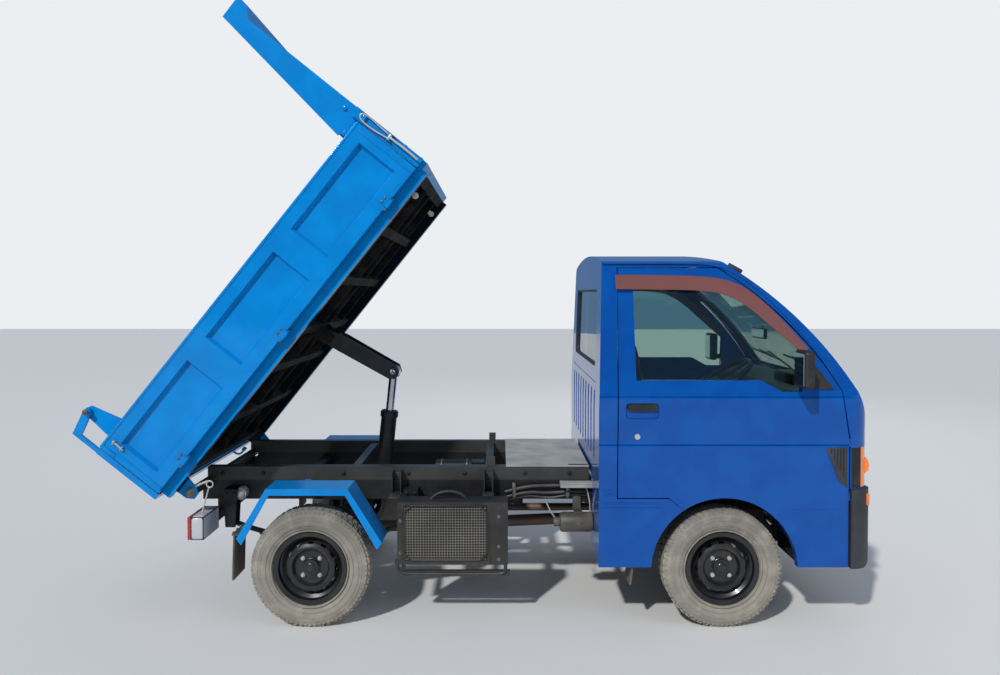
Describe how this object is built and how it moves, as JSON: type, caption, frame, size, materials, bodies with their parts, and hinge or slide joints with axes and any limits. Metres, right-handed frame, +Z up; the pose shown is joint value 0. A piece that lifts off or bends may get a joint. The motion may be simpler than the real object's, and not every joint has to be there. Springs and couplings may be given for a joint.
{
  "type": "kei dump truck",
  "caption": "Small cab-over truck with a tipping load bed, opening doors, drop sides, top-hung tailgate, steered front wheels and a hydraulic hoist.",
  "frame": {"origin": "on the ground at the middle of the truck's outline seen from above, bed raised", "axes": "+X forward, +Y to the truck's left, +Z up"},
  "size_m": [3.6849, 1.684, 2.892],
  "materials": {
    "cab_blue": "gloss",
    "bed_blue": "gloss",
    "chassis_black": "satin",
    "hoist_black": "satin",
    "deck_steel": "dusty",
    "iron": "matte",
    "exhaust_steel": "dull",
    "rod_chrome": "polished",
    "tyre_rubber": "matte",
    "wheel_black": "satin",
    "clear_glass": "clear",
    "bumper_grey": "matte",
    "black_plastic": "matte",
    "dash_grey": "matte",
    "seat_fabric": "woven",
    "lamp_clear": "clear",
    "lamp_amber": "gloss",
    "lamp_red": "gloss",
    "flap_rubber": "matte"
  },
  "bodies": {
    "chassis": {"frame_rails": "chassis_black", "frame_cross_members": "chassis_black", "dump_subframe": "chassis_black", "deck_plate": "deck_steel", "cab_roof": "cab_blue", "cab_rear_wall": "cab_blue", "cab_sides": "cab_blue", "front_panel": "cab_blue", "cab_floor": "cab_blue", "cab_glass": "clear_glass", "front_bumper": "bumper_grey", "headlamps": "lamp_clear", "corner_lamps": "lamp_amber", "dashboard": "dash_grey", "steering_wheel": "black_plastic", "seats": "seat_fabric", "engine_block": "iron", "propshaft": "exhaust_steel", "fuel_tank": "chassis_black", "exhaust": "exhaust_steel", "rear_axle": "chassis_black", "leaf_springs": "chassis_black", "front_suspension": "chassis_black", "rear_fenders": "bed_blue", "mud_flaps": "flap_rubber", "condenser_box": "black_plastic", "tail_lamps": "lamp_red", "hydraulic_pump": "hoist_black", "lamp_surrounds": "black_plastic", "tail_lamp_bar": "black_plastic", "wheel_houses": "cab_blue"},
    "door_right": {"door_right": "cab_blue", "door_window_right": "clear_glass", "door_mirror_right": "black_plastic", "door_handle_right": "black_plastic"},
    "knuckle_right": {"knuckle_right": "chassis_black"},
    "door_left": {"door_left": "cab_blue", "door_window_left": "clear_glass", "door_mirror_left": "black_plastic", "door_handle_left": "black_plastic"},
    "knuckle_left": {"knuckle_left": "chassis_black"},
    "wheel_front_right": {"wheel_front_right": "wheel_black", "tyre_front_right": "tyre_rubber"},
    "wheel_front_left": {"wheel_front_left": "wheel_black", "tyre_front_left": "tyre_rubber"},
    "wheel_rear_right": {"wheel_rear_right": "wheel_black", "tyre_rear_right": "tyre_rubber"},
    "wheel_rear_left": {"wheel_rear_left": "wheel_black", "tyre_rear_left": "tyre_rubber"},
    "bed": {"bed_floor": "bed_blue", "bed_cross_members": "chassis_black", "headboard": "bed_blue"},
    "side_gate_right": {"side_gate_right": "bed_blue"},
    "side_gate_left": {"side_gate_left": "bed_blue"},
    "tailgate": {"tailgate": "bed_blue"},
    "hoist_cylinder": {"hoist_cylinder": "hoist_black"},
    "hoist_rod": {"hoist_rod": "rod_chrome"},
    "lift_arm": {"lift_arm": "hoist_black"}
  },
  "joints": [
    {"name": "door_right_hinge", "type": "hinge", "parent": "chassis", "child": "door_right", "pos_m": [1.704, -0.688, 0.7], "axis": [0, 0, 1], "range_deg": [0, 65]},
    {"name": "door_left_hinge", "type": "hinge", "parent": "chassis", "child": "door_left", "pos_m": [1.704, 0.688, 0.7], "axis": [0, 0, -1], "range_deg": [0, 65]},
    {"name": "steer_right", "type": "hinge", "parent": "chassis", "child": "knuckle_right", "pos_m": [1.1375, -0.455, 0.2725], "axis": [0, 0, 1], "range_deg": [-30, 30]},
    {"name": "steer_left", "type": "hinge", "parent": "chassis", "child": "knuckle_left", "pos_m": [1.1375, 0.455, 0.2725], "axis": [0, 0, 1], "range_deg": [-30, 30]},
    {"name": "spin_front_right", "type": "hinge", "parent": "knuckle_right", "child": "wheel_front_right", "pos_m": [1.1375, -0.5995, 0.2725], "axis": [0, 1, 0], "continuous": true},
    {"name": "spin_front_left", "type": "hinge", "parent": "knuckle_left", "child": "wheel_front_left", "pos_m": [1.1375, 0.5995, 0.2725], "axis": [0, 1, 0], "continuous": true},
    {"name": "spin_rear_right", "type": "hinge", "parent": "chassis", "child": "wheel_rear_right", "pos_m": [-0.7625, -0.5995, 0.2725], "axis": [0, 1, 0], "continuous": true},
    {"name": "spin_rear_left", "type": "hinge", "parent": "chassis", "child": "wheel_rear_left", "pos_m": [-0.7625, 0.5995, 0.2725], "axis": [0, 1, 0], "continuous": true},
    {"name": "bed_tip", "type": "hinge", "parent": "chassis", "child": "bed", "pos_m": [-1.3325, 0, 0.61], "axis": [0, 1, 0], "range_deg": [0, 51.4]},
    {"name": "side_gate_right_hinge", "type": "hinge", "parent": "bed", "child": "side_gate_right", "pos_m": [-0.83823, -0.695, 1.37983], "axis": [0.6239, 0, 0.7815], "range_deg": [0, 170]},
    {"name": "side_gate_left_hinge", "type": "hinge", "parent": "bed", "child": "side_gate_left", "pos_m": [-0.83823, 0.695, 1.37983], "axis": [-0.6239, 0, -0.7815], "range_deg": [0, 170]},
    {"name": "tailgate_hinge", "type": "hinge", "parent": "bed", "child": "tailgate", "pos_m": [-1.77316, 0, 0.99888], "axis": [0, 1, 0], "range_deg": [0, 90]},
    {"name": "cylinder_swing", "type": "hinge", "parent": "chassis", "child": "hoist_cylinder", "pos_m": [-0.5225, 0, 0.55], "axis": [0, 1, 0], "range_deg": [0, 74.07]},
    {"name": "rod_slide", "type": "slide", "parent": "hoist_cylinder", "child": "hoist_rod", "axis": [0.1047, 0, 0.9945], "range_m": [-0.11871, 0]},
    {"name": "arm_swing", "type": "hinge", "parent": "bed", "child": "lift_arm", "pos_m": [-0.80536, 0, 1.3024], "axis": [0, 1, 0], "range_deg": [-79.61, 0]}
  ],
  "couplings": [
    {"joint": "steer_left", "follows": "steer_right", "ratio": 1},
    {"joint": "cylinder_swing", "follows": "bed_tip", "ratio": 1.4372},
    {"joint": "rod_slide", "follows": "bed_tip", "m_per_rad": -0.13121},
    {"joint": "arm_swing", "follows": "bed_tip", "ratio": -1.545}
  ]
}
